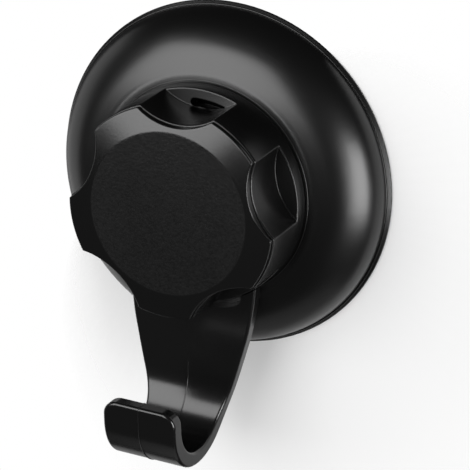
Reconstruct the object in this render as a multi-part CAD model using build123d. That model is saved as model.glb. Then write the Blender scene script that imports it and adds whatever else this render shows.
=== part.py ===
# A screw-down suction cup hook for tiles and glass.
# A soft suction pad lies on the wall under a rigid domed cover. A stud moulded into the
# pad passes out through the cover and into a nut inside the five-lobed knob. Turning the
# knob draws the stud and the pad's middle away from the wall and clamps the dome down.
# The hook's ring lies in the cover's recess under the knob, and its arm hangs below.
#
# Frame, in millimetres: the wall is the plane y = 0, the hook stands out towards -Y,
# +Z is up, and the origin is the middle of the pad's back face. A depth is a distance
# out from the wall. Radii are measured from the Y axis.

import os
from math import cos, radians, sin

from build123d import *

os.makedirs("parts", exist_ok=True)

# Suction pad
pad_reach = 1.1            # how far the pad shows beyond the cover
pad_lip = 0.6              # thickness at the outer edge
pad_rim = 1.3              # thickness under the cover's foot
pad_web = 2.0              # thickness in the middle
pad_web_radius = 33.0      # where the middle thickness starts
pad_boss_radius = 11.0
pad_boss_front = 5.2

# Pull stud and its travel
screw_pitch = 2.5
stud_flange_radius = 8.0
stud_flange_back = 1.5
stud_flange_thickness = 1.5
stud_neck_radius = 5.0
stud_hex = 11.0            # across the flats
stud_hex_front = 12.4
stud_thread_radius = 4.0
stud_front = 24.5
stud_chamfer = 0.8
insert_gap = 0.03          # between the stud's flange and the pad moulded round it

# Domed cover
dome_radius = 41.4
dome_front = 12.85
dome_plateau_radius = 25.5
dome_side_power = 1.65     # how square the dome's section is towards the rim
dome_top_power = 2.03      # and towards the plateau
dome_wall = 2.2
dome_foot_width = 2.4
dome_floor = 2.1           # thickness of the recess floor
dome_ribs = 10
dome_rib = 1.5
dome_rib_back = 5.2
stud_slide_gap = 0.15      # round the hexagon, each side

# Hook: ring, root and arm
ring_hole_radius = 9.2
ring_radius = 24.0
ring_thickness = 2.4
ring_drop = 0.2            # how far the ring's face lies below the plateau
ring_gap = 0.25            # between the ring and the walls of its recess
root_gap = 0.3             # between the knob and the arm round it
relief_reach = 1.95        # how far the hollow in the arm's edge cuts in below that
relief_half_width = 12.75
relief_corner = 2.4
neck_half_width = 13.5     # the neck joins ring and arm below the hollow
neck_wall = 2.8

arm_gap = 0.2              # between the arm's back and the plateau
arm_front = 17.0           # depth of the arm's front at its root
arm_lean = 0.8             # how far the front has drawn back at the knee
arm_back_lean = 0.35
arm_top_half_width = 16.4  # half widths, with their heights from the axis below
arm_shoulder_half_width = 14.26
arm_waist_half_width = 11.31
arm_low_half_width = 9.3
arm_top = -15.0
arm_shoulder = -36.0
arm_waist = -48.0
arm_drawn_in = -58.5       # where the arm reaches its low width
arm_knee = -52.9
arm_back_knee = -54.5
seat_height = -59.3        # lowest point that a hung loop reaches
seat_ramp_run = 7.4        # from the knee out to where the ramp meets the seat
seat_run = 13.0            # and on to the tip
seat_thickness = 3.6
tip_height = -44.8
tip_flare = 2.9            # how far the tip leans out from foot to top
tip_thickness = 3.85
back_ramp_run = 8.3
knee_radius = 13.5
back_knee_radius = 12.0
ramp_radius = 8.4
back_ramp_radius = 15.7
seat_radius = 11.3
tip_outer_radius = 14.8
tip_corner = 3.6
arm_edge = 0.7             # rounding along the arm's edges
arm_round_from = -20.0     # which runs down from this height

# Slip washer under the knob
washer_hole_radius = 9.4
washer_radius = 19.0
washer_thickness = 0.8

# Knob body
knob_radius = 26.1
knob_front = 30.4
knob_lobes = 5
knob_turn = 90.0           # angle of the first scallop, from +X towards +Z
scallop_depth = 4.6        # how far a scallop cuts in at its middle
scallop_radius = 16.4
scallop_floor = 17.4
knob_corner = 0.5
knob_wall = 2.0
knob_floor = 2.8           # thickness of the scallops' floor
knob_edge = 0.3            # rounding of the knob's foot
knob_rim = 0.4             # rounding of the rim
knob_rim_depth = 0.8       # how far the front web lies below the rim
knob_web = 2.0
knob_gap = 0.2             # between the knob and the plateau
boss_radius = 11.5
boss_rib = 1.6
thrust_gap = 0.05
slot_inset = 3.4           # moulding slot in the first scallop's floor, in from the rim
slot_width = 2.0
slot_from = -14.1          # its ends, in degrees from the middle of the scallop
slot_to = 3.9

# Nut held in the knob's boss
nut_hex = 13.0
nut_thickness = 6.0
nut_gap = 0.05
thread_gap = 0.05
stud_room = 0.4            # between the drawn-out stud and what is in front of it

# Knob cap
cap_gap = 0.35             # the dark line between body and cap
cap_edge_front = 31.7
cap_front = 32.6
cap_disc_radius = 19.9
cap_inset = 0.3            # how far the cap's outline lies inside the body's
cap_edge = 0.25
cap_skirt_inset = 2.4
cap_skirt_wall = 1.2
cap_post_wall = 1.1

# Worked out from the sizes above
pad_radius = dome_radius + pad_reach
ring_front = dome_front - ring_drop
ring_back = ring_front - ring_thickness
floor_back = ring_back - dome_floor
recess_radius = ring_radius + ring_gap
washer_front = ring_front + washer_thickness
knob_back = dome_front + knob_gap
boss_back = washer_front + thrust_gap
nut_back = stud_hex_front + screw_pitch + stud_room
nut_front = nut_back + nut_thickness
web_front = knob_front - knob_rim_depth
web_back = web_front - knob_web
cap_back = knob_front + cap_gap
root_radius = knob_radius + root_gap
relief_radius = root_radius + relief_reach
neck_radius = relief_radius + neck_wall
arm_back = dome_front + arm_gap
arm_knee_depth = arm_front - arm_lean
arm_back_knee_depth = arm_back - arm_back_lean
seat_ramp_depth = arm_knee_depth + seat_ramp_run
seat_front = seat_ramp_depth + seat_run
back_ramp_depth = arm_back_knee_depth + back_ramp_run
tip_front = seat_front + tip_flare + tip_thickness
slot_radius = knob_radius - slot_inset
beyond = 5.0               # how far a cutting tool runs past what it cuts


def facing(depth):
    """The plane parallel to the wall at a depth, looking out, with +Z up."""
    return Plane(origin=(0, -depth, 0), x_dir=(1, 0, 0), z_dir=(0, -1, 0))


def slab(sketch, back, front):
    """A flat piece of the sketch's shape between two depths."""
    return extrude(facing(back) * sketch, front - back)


def turned(*corners):
    """A solid of revolution from its half section's (radius, depth) corners."""
    points = [(radius, -depth) for radius, depth in corners]
    return revolve(make_face(Polyline(*points, close=True)), Axis.Y)


def hexagon(across_flats):
    """A hexagon with two of its flats upright."""
    return RegularPolygon(across_flats / 2, 6, major_radius=False, rotation=30)


def make_suction_pad():
    body = turned(
        (0, 0),
        (pad_radius, 0),
        (pad_radius, pad_lip),
        (dome_radius, pad_rim),
        (dome_radius - dome_foot_width, pad_rim),
        (pad_web_radius, pad_web),
        (pad_boss_radius + pad_web, pad_web),
        (pad_boss_radius, pad_boss_front),
        (0, pad_boss_front),
    )
    lip = body.edges().filter_by(GeomType.CIRCLE).sort_by(SortBy.RADIUS)[-2:]
    body = fillet(lip, pad_lip / 3)
    flange_front = stud_flange_back + stud_flange_thickness
    socket = slab(
        Circle(stud_flange_radius + insert_gap),
        stud_flange_back - insert_gap,
        flange_front + insert_gap,
    )
    throat = slab(Circle(stud_neck_radius + insert_gap), flange_front, pad_boss_front + beyond)
    return body - socket - throat


def make_pull_stud():
    flange_front = stud_flange_back + stud_flange_thickness
    flange = slab(Circle(stud_flange_radius), stud_flange_back, flange_front)
    neck = slab(Circle(stud_neck_radius), flange_front, pad_boss_front)
    key = slab(hexagon(stud_hex), pad_boss_front, stud_hex_front)
    thread = slab(Circle(stud_thread_radius), stud_hex_front, stud_front)
    thread = chamfer(thread.edges().sort_by(Axis.Y)[0], stud_chamfer)
    return flange + neck + key + thread


def domed(radius, front):
    """The filled dome: a rounded shoulder from its foot up to a flat plateau."""
    steps = 6
    shoulder = []
    for step in range(steps + 1):
        angle = radians(90 * step / steps)
        reach = (radius - dome_plateau_radius) * cos(angle) ** (2 / dome_side_power)
        rise = (front - pad_rim) * sin(angle) ** (2 / dome_top_power)
        shoulder.append((dome_plateau_radius + reach, -pad_rim - rise))
    curve = Spline(*shoulder, tangents=[(0, -1), (-1, 0)])
    rest = Polyline(shoulder[-1], (0, -front), (0, -pad_rim), shoulder[0])
    return revolve(make_face(curve + rest), Axis.Y)


def arm_outline():
    """The arm from the front: wide at the root and drawn in to the tip's width."""
    low = seat_height - seat_thickness - beyond
    side = Spline(
        (arm_top_half_width, arm_top),
        (arm_shoulder_half_width, arm_shoulder),
        (arm_waist_half_width, arm_waist),
        (arm_low_half_width, arm_drawn_in),
        tangents=[(0, -1), (-0.24, -1), (-0.28, -1), (0, -1)],
    )
    left = mirror(side, Plane.YZ)
    cap_line = Line((-arm_top_half_width, arm_top), (arm_top_half_width, arm_top))
    foot = Polyline(
        (arm_low_half_width, arm_drawn_in),
        (arm_low_half_width, low),
        (-arm_low_half_width, low),
        (-arm_low_half_width, arm_drawn_in),
    )
    return make_face(side + foot + left + cap_line)


def arm_section():
    """The arm and its upturned tip from the side, in depth and height."""
    under = seat_height - seat_thickness
    inner = FilletPolyline(
        (-arm_front, arm_top),
        (-arm_knee_depth, arm_knee),
        (-seat_ramp_depth, seat_height),
        (-seat_front, seat_height),
        (-seat_front - tip_flare, tip_height),
        radius=[knee_radius, ramp_radius, seat_radius],
    )
    outer = FilletPolyline(
        (-arm_back, arm_top),
        (-arm_back_knee_depth, arm_back_knee),
        (-back_ramp_depth, under),
        (-seat_front - tip_thickness, under),
        (-tip_front, tip_height),
        radius=[back_knee_radius, back_ramp_radius, tip_outer_radius],
    )
    root = Line((-arm_front, arm_top), (-arm_back, arm_top))
    tip = Line((-seat_front - tip_flare, tip_height), (-tip_front, tip_height))
    return make_face(inner + tip + outer + root)


def below(radius, half_width):
    """The part of a disc that lies below the axis, within a half width."""
    return Circle(radius) & Pos(0, -radius) * Rectangle(2 * half_width, 2 * radius)


def make_hook():
    section = Plane.YZ * arm_section()
    arm = extrude(section, arm_top_half_width + beyond, both=True)
    tip_low = seat_height - seat_thickness - beyond
    tip_plan = Pos(0, (tip_height + tip_low) / 2) * Rectangle(
        2 * arm_low_half_width, tip_height - tip_low
    )
    plan = slab(arm_outline(), 0, seat_ramp_depth)
    plan = plan + slab(tip_plan, seat_ramp_depth, tip_front + beyond)
    arm = arm & plan
    tip_corners = arm.edges().filter_by(Axis.Y).group_by(Axis.Y)[0]
    arm = fillet(tip_corners, tip_corner)
    rounded = [edge for edge in arm.edges() if edge.center().Z < arm_round_from]
    arm = fillet(rounded, arm_edge)
    neck = slab(below(neck_radius, neck_half_width), ring_back, (arm_back + arm_front) / 2)
    relief = below(relief_radius, relief_half_width)
    relief = fillet(relief.vertices().group_by(Axis.Y)[0], relief_corner)
    clear = slab(Circle(root_radius) + relief, ring_front, arm_front + beyond)
    ring = slab(Circle(ring_radius), ring_back, ring_front)
    return ring + (neck + arm - clear) - slab(Circle(ring_hole_radius), 0, arm_front)


def make_dome_cover():
    shell = domed(dome_radius, dome_front)
    hollow = domed(dome_radius - dome_wall, dome_front - dome_wall)
    hub = slab(Circle(recess_radius + dome_wall), floor_back, dome_front)
    seat = below(neck_radius + ring_gap, neck_half_width + ring_gap)
    hub = hub + slab(offset(seat, dome_wall), floor_back, dome_front)
    hollow = hollow - hub
    rib = Polyline(
        (stud_flange_radius + dome_wall, -floor_back - dome_wall),
        (recess_radius, -dome_rib_back),
        (dome_radius - dome_foot_width, -pad_web - dome_wall),
        (dome_radius - dome_foot_width, -dome_front),
        (stud_flange_radius + dome_wall, -dome_front),
        close=True,
    )
    rib = extrude(make_face(rib), dome_rib / 2, both=True)
    ribs = [Rot(0, 360 * n / dome_ribs, 0) * rib for n in range(dome_ribs)]
    hollow = hollow - ribs
    cover = shell - hollow
    cover = cover - slab(Circle(recess_radius), ring_back, dome_front + beyond)
    cover = cover - slab(seat, ring_back, dome_front + beyond)
    return cover - slab(hexagon(stud_hex + 2 * stud_slide_gap), 0, dome_front)


def make_slip_washer():
    return slab(Circle(washer_radius) - Circle(washer_hole_radius), ring_front, washer_front)


def lobed(inset=0.0):
    """The knob's outline, with its scallops, drawn in by an inset."""
    middle = knob_radius - scallop_depth + scallop_radius
    scallops = [
        Rot(0, 0, knob_turn + 360 * n / knob_lobes)
        * Pos(middle, 0)
        * Circle(scallop_radius + inset)
        for n in range(knob_lobes)
    ]
    outline = Circle(knob_radius - inset) - scallops
    return fillet(outline.vertices(), knob_corner)


def make_knob_body():
    outer = slab(lobed(), knob_back + 2 * knob_edge, knob_front)
    rim = outer.faces().sort_by(Axis.Y)[0].edges()
    outer = fillet(rim, knob_rim)
    foot = slab(Circle(knob_radius), knob_back, scallop_floor)
    outer = outer + fillet(foot.edges().filter_by(GeomType.CIRCLE), knob_edge)
    floor = scallop_floor - knob_floor
    hollow = slab(Circle(knob_radius - knob_wall), knob_back, floor)
    hollow = hollow + slab(lobed(knob_wall), floor, web_back)
    boss = slab(Circle(boss_radius), boss_back, web_back)
    reach = knob_radius - knob_wall / 2 - boss_radius / 2
    ribs = [
        Rot(0, 0, knob_turn + 360 * (n + 0.5) / knob_lobes)
        * Pos(boss_radius / 2 + reach / 2, 0)
        * Rectangle(reach, boss_rib)
        for n in range(knob_lobes)
    ]
    hollow = hollow - boss - slab(Sketch() + ribs, floor, web_back)
    tray = slab(lobed(knob_wall), web_front, knob_front)
    pocket = slab(hexagon(nut_hex + 2 * nut_gap), nut_back, knob_front)
    way = slab(Circle(stud_hex / 2 / cos(radians(30)) + stud_room), knob_back, nut_back)
    sweep = CenterArc((0, 0), slot_radius, knob_turn + slot_from, slot_to - slot_from)
    slot = slab(SlotArc(sweep, slot_width), floor - 1, scallop_floor)
    return outer - hollow - tray - pocket - way - slot


def make_lock_nut():
    blank = hexagon(nut_hex) - Circle(stud_thread_radius + thread_gap)
    nut = slab(blank, nut_back, nut_front)
    return nut


def make_knob_cap():
    plate = slab(lobed(cap_inset), cap_back, cap_front)
    crown = turned(
        (0, cap_back),
        (knob_radius + beyond, cap_back),
        (knob_radius + beyond, crown_depth(knob_radius + beyond)),
        (cap_disc_radius, cap_front),
        (0, cap_front),
    )
    plate = plate & crown
    cone = plate.faces().filter_by(GeomType.CONE)[0]
    plate = fillet(cone.outer_wire().edges(), cap_edge)
    skirt = lobed(cap_skirt_inset) - lobed(cap_skirt_inset + cap_skirt_wall)
    skirt = slab(skirt, web_front, cap_back)
    bore = stud_thread_radius + stud_room
    post = slab(Circle(bore + cap_post_wall) - Circle(bore), nut_front, cap_back)
    return plate + skirt + post


def crown_depth(radius):
    """Depth of the cap's sloping face at a radius."""
    slope = (cap_front - cap_edge_front) / (knob_radius - cap_disc_radius)
    return cap_front - slope * (radius - cap_disc_radius)


makers = {
    "suction_pad": make_suction_pad,
    "pull_stud": make_pull_stud,
    "dome_cover": make_dome_cover,
    "hook": make_hook,
    "slip_washer": make_slip_washer,
    "knob_body": make_knob_body,
    "lock_nut": make_lock_nut,
    "knob_cap": make_knob_cap,
}
for name, make in makers.items():
    export_step(make(), f"parts/{name}.step")
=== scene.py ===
"""The looks of a screw-down suction cup hook in black plastic, on a white wall.

The wall is the plane y = 0, -Y is out towards the viewer and +Z is up. Lengths are in metres,
and depths of grain are in millimetres.
"""

from math import cos, pi, radians, sin

import bmesh
import bpy
from mathutils import Matrix, Vector


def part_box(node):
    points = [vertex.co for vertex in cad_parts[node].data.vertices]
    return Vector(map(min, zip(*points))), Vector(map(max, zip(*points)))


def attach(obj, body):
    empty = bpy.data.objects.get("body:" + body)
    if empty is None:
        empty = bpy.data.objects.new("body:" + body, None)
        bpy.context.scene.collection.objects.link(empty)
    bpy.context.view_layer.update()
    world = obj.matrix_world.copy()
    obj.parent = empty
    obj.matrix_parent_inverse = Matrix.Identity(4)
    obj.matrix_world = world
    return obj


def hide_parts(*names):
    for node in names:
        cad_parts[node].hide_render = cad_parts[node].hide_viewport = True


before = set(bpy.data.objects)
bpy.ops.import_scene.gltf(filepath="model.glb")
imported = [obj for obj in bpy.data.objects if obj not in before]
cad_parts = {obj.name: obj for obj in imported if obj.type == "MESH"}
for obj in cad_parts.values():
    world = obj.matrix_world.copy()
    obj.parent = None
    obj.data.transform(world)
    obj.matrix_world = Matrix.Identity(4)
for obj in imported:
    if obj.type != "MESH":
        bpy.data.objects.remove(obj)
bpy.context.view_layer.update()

MM = 0.001

# Camera, fitted to the photograph's rim, knob and arm. For the camera and the lamps, azimuth is
# in degrees to the right of straight out from the wall, and elevation is in degrees above that.
view_azimuth = 25.52
view_elevation = 18.43
view_roll = radians(-1.9)
view_distance = 836.3 * MM
view_lens = 269.45
view_near = 0.05
sensor_width = 36.0
aim = Vector((3.3, -3.7, -14.2)) * MM

# The hook hung a little askew in the photograph, turned about its knob's axis. Here it hangs
# upright, so the camera and the lamps stand turned the other way.
set_turn = Matrix.Rotation(radians(-5.4), 4, "Y")

# Lamps: name, azimuth, elevation, distance, width, height, radiance
lamps = [
    ("key_softbox", -22.4, 17.3, 0.55, 0.545, 0.427, 3.46),
    ("right_softbox", 60.8, -9.5, 0.9, 0.48, 0.57, 6.6),
    ("left_fill", -99.3, -7.8, 0.9, 0.57, 1.2, 0.55),
    ("floor_bounce", 0, -82, 0.9, 0.9, 0.5, 0.2),
    ("back_left_fill", -135, -35, 0.9, 0.8, 0.8, 0.35),
    ("back_fill", 180, -4, 0.9, 0.8, 0.6, 0.7),
]

# Wall and room
wall_hole = 0.94            # share of the pad's radius that the wall leaves open behind it
wall_edge = 0.985           # and where it ends on the sides that have no shadow
wall_reach = 75 * MM        # how far it reaches beyond that on the side of the shadow
wall_side = radians(-48)    # direction of that side, from +X towards +Z
wall_spread = radians(105)  # how far round from there the wall still shows
wall_gap = 0.1 * MM
wall_sides = 96
wall_white = 0.85
wall_glow = 0.13            # what the camera sees of the wall besides the light on it
room_white = 1.0
room_dim = 0.03             # the dark room round the lamps, as the plastic sees it

# Finishes
shine = 0.75                # specular level of all the finishes
plastic_grain = 0.25 * MM
plastic_grain_depth = 0.004
plastic_drift = 0.05        # how far the roughness drifts over the surface
drift_size = 14 * MM
rubber_grain = 0.5 * MM
rubber_drift = 0.08
hook_grain_depth = 0.003
cap_grain = 0.62 * MM
cap_grain_depth = 0.003
cap_disc_radius = 19.9 * MM
cap_disc_edge = 0.3 * MM    # over which the disc's finish passes into the ring's
cap_disc_grain = 10.0       # how many times deeper the grain is on the disc, added to its own
cap_disc_speckle = 2.2      # how far the grain lightens and darkens the disc
knob_softness = 0.35 * MM   # how far the light rounds the knob's edges
knob_softness_samples = 6
metal_grain = 0.6 * MM
metal_grain_depth = 0.002
metal_drift = 0.12
lathe_step = 0.3 * MM
lathe_depth = 0.004

# Trim
bead_sides = 240
trim_section_sides = 8
pad_bead_radius = 41.7 * MM
pad_bead_depth = 1.08 * MM
pad_bead_thickness = 0.4 * MM
shoulder_radius = 26.5 * MM
shoulder_depth = 12.71 * MM
shoulder_thickness = 0.4 * MM
mould_line_width = 0.32 * MM
mould_line_top = -32 * MM
merge_distance = 0.005 * MM

# Stud: depths are from the wall outwards
stud_flange = (1.5 * MM, 3.0 * MM)
stud_flange_radius = 8.0 * MM
stud_neck_radius = 5.0 * MM
stud_hex_span = (5.2 * MM, 12.4 * MM)
stud_hex = 11.0 * MM        # across the flats
stud_thread_radius = 4.0 * MM
stud_thread_depth = 0.7 * MM
stud_thread_slope = 1.4     # how steep the thread's flanks are
stud_thread_crest = 0.2     # share of the slope that its flat crest takes
stud_pitch = 2.5 * MM
stud_front = 24.5 * MM
stud_chamfer = 0.8 * MM
stud_sides = 72
stud_thread_rings = 90


def new_object(name, mesh):
    made = bpy.data.objects.new(name, mesh)
    bpy.context.scene.collection.objects.link(made)
    return made


def grey(level):
    return (level, level, level, 1.0)


class Nodes:
    """A short way to add and join the nodes of one tree."""

    def __init__(self, tree):
        self.tree = tree
        self.tree.nodes.clear()

    def add(self, kind, inputs=None, **settings):
        node = self.tree.nodes.new(kind)
        for name, value in settings.items():
            setattr(node, name, value)
        for name, value in (inputs or {}).items():
            socket = node.inputs[name]
            if isinstance(value, bpy.types.NodeSocket):
                self.tree.links.new(value, socket)
            else:
                socket.default_value = value
        return node

    def math(self, operation, first, second=0.0, clamp=False):
        node = self.add("ShaderNodeMath", {0: first, 1: second}, operation=operation)
        node.use_clamp = clamp
        return node.outputs[0]

    def group(self, tree, inputs):
        node = self.add("ShaderNodeGroup", node_tree=tree)
        for name, value in inputs.items():
            node.inputs[name].default_value = value
        return node

    def radius(self):
        """A point's distance from the knob's axis."""
        place = self.add("ShaderNodeTexCoord").outputs["Object"]
        x, _, z = self.add("ShaderNodeSeparateXYZ", {"Vector": place}).outputs
        squares = self.math("ADD", self.math("MULTIPLY", x, x), self.math("MULTIPLY", z, z))
        return self.math("SQRT", squares)


# Node groups that the finishes share

def group_tree(name, inputs, outputs):
    tree = bpy.data.node_groups.new(name, "ShaderNodeTree")
    for socket, value in inputs.items():
        made = tree.interface.new_socket(socket, in_out="INPUT", socket_type="NodeSocketFloat")
        made.default_value = value
    for socket in outputs:
        tree.interface.new_socket(socket, in_out="OUTPUT", socket_type="NodeSocketFloat")
    return tree


def moulded_grain_group():
    """Fine moulded grain, and a slow drift of gloss over the surface."""
    inputs = {
        "Grain size": plastic_grain,
        "Depth": plastic_grain_depth,
        "Drift size": drift_size,
        "Roughness": 0.3,
        "Drift": plastic_drift,
    }
    tree = group_tree("moulded_grain", inputs, ["Height", "Roughness"])
    n = Nodes(tree)
    given = n.add("NodeGroupInput").outputs
    place = n.add("ShaderNodeTexCoord").outputs["Object"]
    grain_scale = n.math("DIVIDE", 1.0, given["Grain size"])
    drift_scale = n.math("DIVIDE", 1.0, given["Drift size"])
    grain = n.add("ShaderNodeTexNoise", {"Vector": place, "Scale": grain_scale, "Detail": 2.0})
    drift = n.add("ShaderNodeTexNoise", {"Vector": place, "Scale": drift_scale, "Detail": 3.0})
    height = n.math("MULTIPLY", grain.outputs["Fac"], given["Depth"])
    swing = n.math("MULTIPLY", n.math("SUBTRACT", drift.outputs["Fac"], 0.5), given["Drift"])
    rough = n.math("ADD", given["Roughness"], swing, clamp=True)
    n.add("NodeGroupOutput", {"Height": height, "Roughness": rough})
    return tree


def round_disc_group():
    """A mask that is 1 within a radius of the knob's axis, and 0 outside it."""
    inputs = {"Radius": cap_disc_radius, "Softness": cap_disc_edge}
    tree = group_tree("round_disc", inputs, ["Inside"])
    n = Nodes(tree)
    given = n.add("NodeGroupInput").outputs
    inside = n.math("SUBTRACT", given["Radius"], n.radius())
    inside = n.math("DIVIDE", inside, given["Softness"], clamp=True)
    n.add("NodeGroupOutput", {"Inside": inside})
    return tree


def turned_rings_group():
    """Fine rings left by a lathe, round the knob's axis."""
    inputs = {"Step": lathe_step, "Depth": lathe_depth}
    tree = group_tree("turned_rings", inputs, ["Height"])
    n = Nodes(tree)
    given = n.add("NodeGroupInput").outputs
    wave = n.math("PINGPONG", n.math("DIVIDE", n.radius(), given["Step"]), 0.5)
    n.add("NodeGroupOutput", {"Height": n.math("MULTIPLY", wave, given["Depth"])})
    return tree


moulded_grain = moulded_grain_group()
round_disc = round_disc_group()
turned_rings = turned_rings_group()


# Finishes

def start_finish(name, roughness, drift, grain, grain_depth):
    """A new material's nodes, with the height and roughness of its grain."""
    material = bpy.data.materials.new(name)
    material.use_nodes = True
    n = Nodes(material.node_tree)
    skin = n.group(
        moulded_grain,
        {"Grain size": grain, "Depth": grain_depth, "Roughness": roughness, "Drift": drift},
    )
    return material, n, skin.outputs["Height"], skin.outputs["Roughness"]


def end_finish(n, height, rough, colour, metallic=0.0, softness=0.0):
    """Joins a height and a roughness to the shader, and lets the light round the edges."""
    bump = n.add("ShaderNodeBump", {"Height": height, "Distance": 1.0 * MM, "Strength": 1.0})
    if softness:
        edges = n.add("ShaderNodeBevel", {"Radius": softness}, samples=knob_softness_samples)
        n.tree.links.new(edges.outputs["Normal"], bump.inputs["Normal"])
    shader = n.add(
        "ShaderNodeBsdfPrincipled",
        {
            "Base Color": (*colour, 1.0),
            "Metallic": metallic,
            "Roughness": rough,
            "Specular IOR Level": shine,
            "Normal": bump.outputs["Normal"],
        },
    )
    n.add("ShaderNodeOutputMaterial", {"Surface": shader.outputs["BSDF"]})
    return shader


def moulded(
    name,
    level,
    roughness,
    drift=plastic_drift,
    grain=plastic_grain,
    grain_depth=plastic_grain_depth,
    softness=0.0,
):
    """Plastic or rubber of one grey level, with the grain of its mould."""
    material, n, height, rough = start_finish(name, roughness, drift, grain, grain_depth)
    end_finish(n, height, rough, (level, level, level), softness=softness)
    return material


def cap_plastic(name, level, ring_roughness, disc_roughness):
    """Satin plastic whose flat round face is more matt and coarser than the edge round it."""
    material, n, grain, rough = start_finish(
        name, ring_roughness, plastic_drift, cap_grain, cap_grain_depth
    )
    disc = n.group(round_disc, {"Radius": cap_disc_radius, "Softness": cap_disc_edge})
    disc = disc.outputs["Inside"]
    coarser = n.math("MULTIPLY", disc, disc_roughness - ring_roughness)
    deeper = n.math("MULTIPLY", disc, cap_disc_grain)
    height = n.math("MULTIPLY", grain, n.math("ADD", deeper, 1.0))
    rough = n.math("ADD", rough, coarser, clamp=True)
    shader = end_finish(n, height, rough, (level, level, level), softness=knob_softness)
    speckle = n.math("SUBTRACT", n.math("DIVIDE", grain, cap_grain_depth), 0.5)
    speckle = n.math("MULTIPLY", n.math("MULTIPLY", speckle, disc), cap_disc_speckle * level)
    shade = n.math("ADD", speckle, level, clamp=True)
    tint = n.add("ShaderNodeCombineColor", {"Red": shade, "Green": shade, "Blue": shade})
    n.tree.links.new(tint.outputs["Color"], shader.inputs["Base Color"])
    return material


def turned_metal(name, colour, roughness):
    """Metal from a lathe."""
    material, n, height, rough = start_finish(
        name, roughness, metal_drift, metal_grain, metal_grain_depth
    )
    rings = n.group(turned_rings, {"Step": lathe_step, "Depth": lathe_depth})
    height = n.math("ADD", height, rings.outputs["Height"])
    end_finish(n, height, rough, colour, metallic=1.0)
    return material


finishes = {
    "dome_cover": moulded("cover_satin_black", 0.0035, 0.29),
    "suction_pad": moulded("pad_rubber_black", 0.003, 0.25, rubber_drift, rubber_grain),
    "hook": moulded("hook_gloss_black", 0.006, 0.19, grain_depth=hook_grain_depth),
    "knob_body": moulded("knob_satin_black", 0.004, 0.26, softness=knob_softness),
    "knob_cap": cap_plastic("cap_satin_black", 0.006, 0.14, 0.25),
    "slip_washer": moulded("washer_natural_white", 0.75, 0.45),
    "lock_nut": turned_metal("nut_brass", (0.78, 0.6, 0.3), 0.28),
    "pull_stud": turned_metal("stud_zinc", (0.6, 0.6, 0.62), 0.32),
}


def dress_frame():
    """Gives each carried-over piece its finish."""
    for node, material in finishes.items():
        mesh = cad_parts[node].data
        mesh.materials.clear()
        mesh.materials.append(material)


# Small shapes that the solids leave out

def shape_tree(name, sizes):
    """An empty Geometry Nodes tree with a geometry, its named sizes and a material as inputs."""
    tree = bpy.data.node_groups.new(name, "GeometryNodeTree")
    tree.interface.new_socket("Shape", in_out="INPUT", socket_type="NodeSocketGeometry")
    for socket, value in sizes.items():
        made = tree.interface.new_socket(socket, in_out="INPUT", socket_type="NodeSocketFloat")
        made.default_value = value
    tree.interface.new_socket("Finish", in_out="INPUT", socket_type="NodeSocketMaterial")
    tree.interface.new_socket("Shape", in_out="OUTPUT", socket_type="NodeSocketGeometry")
    return tree


def sweep_round(n, path, radius, finish):
    """Runs a small round section along a path, and ends the tree."""
    section = n.add(
        "GeometryNodeCurvePrimitiveCircle",
        {"Resolution": trim_section_sides, "Radius": radius},
    )
    swept = n.add(
        "GeometryNodeCurveToMesh",
        {"Curve": path, "Profile Curve": section.outputs["Curve"], "Fill Caps": True},
    )
    whole = n.add("GeometryNodeRealizeInstances", {"Geometry": swept.outputs["Mesh"]})
    dressed = n.add(
        "GeometryNodeSetMaterial",
        {"Geometry": whole.outputs["Geometry"], "Material": finish},
    )
    n.add("NodeGroupOutput", {"Shape": dressed.outputs["Geometry"]})


def bead_tree():
    """A round bead in a ring about the knob's axis."""
    sizes = {
        "Radius": pad_bead_radius,
        "Depth": pad_bead_depth,
        "Thickness": pad_bead_thickness,
    }
    tree = shape_tree("bead", sizes)
    n = Nodes(tree)
    given = n.add("NodeGroupInput").outputs
    ring = n.add(
        "GeometryNodeCurvePrimitiveCircle",
        {"Resolution": bead_sides, "Radius": given["Radius"]},
    )
    out = n.math("MULTIPLY", given["Depth"], -1.0)
    shift = n.add("ShaderNodeCombineXYZ", {"Y": out}).outputs["Vector"]
    upright = (radians(90), 0, 0)
    placed = n.add(
        "GeometryNodeTransform",
        {"Geometry": ring.outputs["Curve"], "Translation": shift, "Rotation": upright},
    )
    half = n.math("MULTIPLY", given["Thickness"], 0.5)
    sweep_round(n, placed.outputs["Geometry"], half, given["Finish"])
    return tree


def ridge_tree():
    """A fine ridge along the edges that it is given."""
    tree = shape_tree("ridge", {"Thickness": mould_line_width})
    n = Nodes(tree)
    given = n.add("NodeGroupInput").outputs
    path = n.add("GeometryNodeMeshToCurve", {"Mesh": given["Shape"]})
    half = n.math("MULTIPLY", given["Thickness"], 0.5)
    sweep_round(n, path.outputs["Curve"], half, given["Finish"])
    return tree


def grow(name, tree, sizes, finish, seed=None):
    """The plain mesh that a tree makes, as a new object."""
    grower = new_object(name + "_grower", seed or bpy.data.meshes.new(name + "_seed"))
    modifier = grower.modifiers.new("shape", "NODES")
    modifier.node_group = tree
    given = {**sizes, "Finish": finish}
    for socket in tree.interface.items_tree:
        if socket.in_out == "INPUT" and socket.name in given:
            modifier[socket.identifier] = given[socket.name]
    bpy.context.view_layer.update()
    grown = grower.evaluated_get(bpy.context.evaluated_depsgraph_get())
    mesh = bpy.data.meshes.new_from_object(grown)
    grower.modifiers.remove(modifier)
    bpy.data.objects.remove(grower)
    made = bmesh.new()
    made.from_mesh(mesh)
    bmesh.ops.recalc_face_normals(made, faces=made.faces)
    for face in made.faces:
        face.smooth = True
    made.to_mesh(mesh)
    made.free()
    return new_object(name, mesh)


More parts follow.
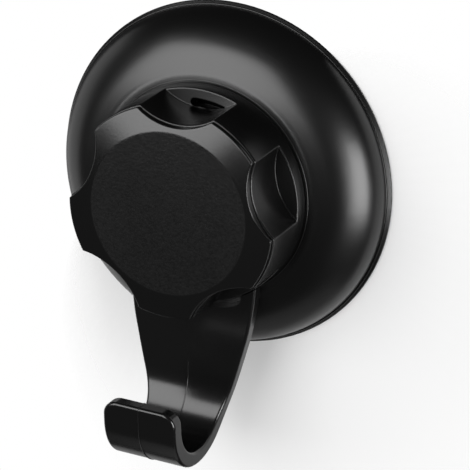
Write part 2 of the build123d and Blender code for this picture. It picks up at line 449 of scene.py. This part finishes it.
def arm_outline():
    """The edges round the arm's section at its middle, below the knob."""
    mesh = bmesh.new()
    mesh.from_mesh(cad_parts["hook"].data)
    bmesh.ops.remove_doubles(mesh, verts=mesh.verts, dist=merge_distance)
    middle = bmesh.ops.bisect_plane(
        mesh,
        geom=mesh.verts[:] + mesh.edges[:] + mesh.faces[:],
        plane_co=(0, 0, 0),
        plane_no=(1, 0, 0),
    )
    edges = [
        part
        for part in middle["geom_cut"]
        if isinstance(part, bmesh.types.BMEdge)
        and all(vert.co.z < mould_line_top for vert in part.verts)
    ]
    points = []
    number = {}
    for edge in edges:
        for vert in edge.verts:
            if vert.index not in number:
                number[vert.index] = len(points)
                points.append(vert.co.copy())
    pairs = [[number[vert.index] for vert in edge.verts] for edge in edges]
    mesh.free()
    outline = bpy.data.meshes.new("arm_outline")
    outline.from_pydata(points, pairs, [])
    return outline


def stud_reach(depth, angle):
    """How far the stud reaches from its axis, at a depth and in a direction."""
    if depth < stud_flange[1]:
        return stud_flange_radius
    if depth < stud_hex_span[0]:
        return stud_neck_radius
    if depth < stud_hex_span[1]:
        aside = (angle + pi / 6) % (pi / 3) - pi / 6
        return stud_hex / 2 / cos(aside)
    turns = depth / stud_pitch - angle / (2 * pi)
    flank = stud_thread_slope * abs(turns % 1 - 0.5) * 2 - stud_thread_crest
    thread = stud_thread_radius - stud_thread_depth * min(1, max(0, flank))
    return min(thread, stud_thread_radius - stud_chamfer + stud_front - depth)


def make_stud():
    """The pull stud with its real thread, as one closed skin of rings."""
    depths = [stud_flange[0], stud_flange[1], stud_hex_span[0], stud_hex_span[1]]
    rings = []
    for near, far in zip(depths, depths[1:]):
        rings += [(near, near), (far, near)]
    run = stud_front - stud_hex_span[1]
    for step in range(stud_thread_rings + 1):
        depth = stud_hex_span[1] + run * step / stud_thread_rings
        rings.append((depth, depth))
    mesh = bmesh.new()
    skin = []
    for depth, like in rings:
        row = []
        for turn in range(stud_sides):
            angle = 2 * pi * turn / stud_sides
            reach = stud_reach(like, angle)
            row.append(mesh.verts.new((reach * cos(angle), -depth, reach * sin(angle))))
        skin.append(row)
    for near, far in zip(skin, skin[1:]):
        for turn in range(stud_sides):
            after = (turn + 1) % stud_sides
            mesh.faces.new((near[turn], near[after], far[after], far[turn]))
    mesh.faces.new(skin[0])
    mesh.faces.new(skin[-1])
    bmesh.ops.recalc_face_normals(mesh, faces=mesh.faces)
    data = bpy.data.meshes.new("stud")
    mesh.to_mesh(data)
    mesh.free()
    data.materials.append(finishes["pull_stud"])
    stud = new_object("threaded_stud", data)
    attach(stud, "stud")
    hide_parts("pull_stud")


def make_trim():
    """The beads at the pad's lip and the cover's shoulder, and the mould's line down the arm."""
    sizes = {
        "Radius": pad_bead_radius,
        "Depth": pad_bead_depth,
        "Thickness": pad_bead_thickness,
    }
    bead = grow("pad_bead", bead_tree(), sizes, finishes["suction_pad"])
    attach(bead, "cover")
    sizes = {
        "Radius": shoulder_radius,
        "Depth": shoulder_depth,
        "Thickness": shoulder_thickness,
    }
    edge = grow("shoulder_bead", bead_tree(), sizes, finishes["dome_cover"])
    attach(edge, "cover")
    sizes = {"Thickness": mould_line_width}
    line = grow("arm_mould_line", ridge_tree(), sizes, finishes["hook"], arm_outline())
    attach(line, "cover")


# Stage: wall, room, lamps and camera

def wall_material():
    """A white wall that keeps shadows, fades out at its edge, and isn't seen from behind."""
    material = bpy.data.materials.new("wall_white")
    material.use_nodes = True
    n = Nodes(material.node_tree)
    path = n.add("ShaderNodeLightPath").outputs
    seen = n.math("MAXIMUM", path["Is Camera Ray"], path["Is Glossy Ray"])
    seen = n.math("MAXIMUM", seen, path["Is Transmission Ray"])
    paint = n.add("ShaderNodeBsdfDiffuse", {"Color": grey(wall_white)})
    glow = n.add(
        "ShaderNodeEmission",
        {"Color": grey(room_white), "Strength": n.math("MULTIPLY", seen, wall_glow)},
    )
    front = n.add("ShaderNodeAddShader", {0: paint.outputs[0], 1: glow.outputs[0]})
    clear = n.add("ShaderNodeBsdfTransparent")
    back = n.add("ShaderNodeNewGeometry").outputs["Backfacing"]
    fade = n.add("ShaderNodeAttribute", attribute_name="fade").outputs["Fac"]
    gone = n.math("MAXIMUM", back, fade)
    mixed = n.add("ShaderNodeMixShader", {0: gone, 1: front.outputs[0], 2: clear.outputs[0]})
    n.add("ShaderNodeOutputMaterial", {"Surface": mixed.outputs[0]})
    return material


def make_wall():
    """The wall on the shadow's side, open behind the pad so that light reaches the pad's back."""
    low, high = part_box("suction_pad")
    pad_radius = (high.x - low.x) / 2
    hole = wall_hole * pad_radius
    mesh = bmesh.new()
    fade = mesh.verts.layers.float.new("fade")
    inner = []
    outer = []
    for turn in range(wall_sides):
        angle = radians(360 * turn / wall_sides)
        x, z = cos(angle), sin(angle)
        share = (cos(angle - wall_side) - cos(wall_spread)) / (1 - cos(wall_spread))
        reach = wall_edge * pad_radius + wall_reach * max(0, share)
        inner.append(mesh.verts.new((hole * x, wall_gap, hole * z)))
        outer.append(mesh.verts.new((reach * x, wall_gap, reach * z)))
        outer[-1][fade] = 1.0
    for turn in range(wall_sides):
        after = (turn + 1) % wall_sides
        mesh.faces.new((inner[turn], outer[turn], outer[after], inner[after]))
    data = bpy.data.meshes.new("wall")
    mesh.to_mesh(data)
    mesh.free()
    data.materials.append(wall_material())
    new_object("wall", data)


def light_room():
    """A dim room, seen as white only by the camera."""
    world = bpy.data.worlds.new("room")
    bpy.context.scene.world = world
    world.use_nodes = True
    n = Nodes(world.node_tree)
    seen = n.add("ShaderNodeLightPath").outputs["Is Camera Ray"]
    level = n.add(
        "ShaderNodeMix",
        {"Factor": seen, "A": room_dim, "B": room_white},
        data_type="FLOAT",
    )
    sky = n.add("ShaderNodeBackground", {"Color": grey(1.0), "Strength": level.outputs[0]})
    n.add("ShaderNodeOutputWorld", {"Surface": sky.outputs[0]})


def from_front(azimuth, elevation):
    """The direction at an angle to the right of straight out from the wall, and above it."""
    a, e = radians(azimuth), radians(elevation)
    return Vector((sin(a) * cos(e), -cos(a) * cos(e), sin(e)))


def facing(direction):
    """The turn of a lamp or camera that stands in a direction and looks back along it."""
    return direction.to_track_quat("Z", "Y").to_matrix().to_4x4()


def light_lamps():
    for name, azimuth, elevation, distance, width, height, radiance in lamps:
        data = bpy.data.lights.new(name, "AREA")
        data.shape = "RECTANGLE"
        data.size = width
        data.size_y = height
        data.energy = radiance * pi * width * height
        lamp = new_object(name, data)
        back = from_front(azimuth, elevation)
        lamp.matrix_world = set_turn @ Matrix.Translation(back * distance) @ facing(back)


def place_camera():
    data = bpy.data.cameras.new("camera")
    data.lens = view_lens
    data.sensor_width = sensor_width
    data.clip_start = view_near
    camera = new_object("camera", data)
    place = from_front(view_azimuth, view_elevation) * view_distance
    roll = Matrix.Rotation(view_roll, 4, "Z")
    camera.matrix_world = set_turn @ Matrix.Translation(place) @ facing(place - aim) @ roll
    bpy.context.scene.camera = camera


dress_frame()
make_stud()
make_trim()
make_wall()
light_room()
light_lamps()
place_camera()
bpy.context.scene.view_settings.view_transform = "Standard"
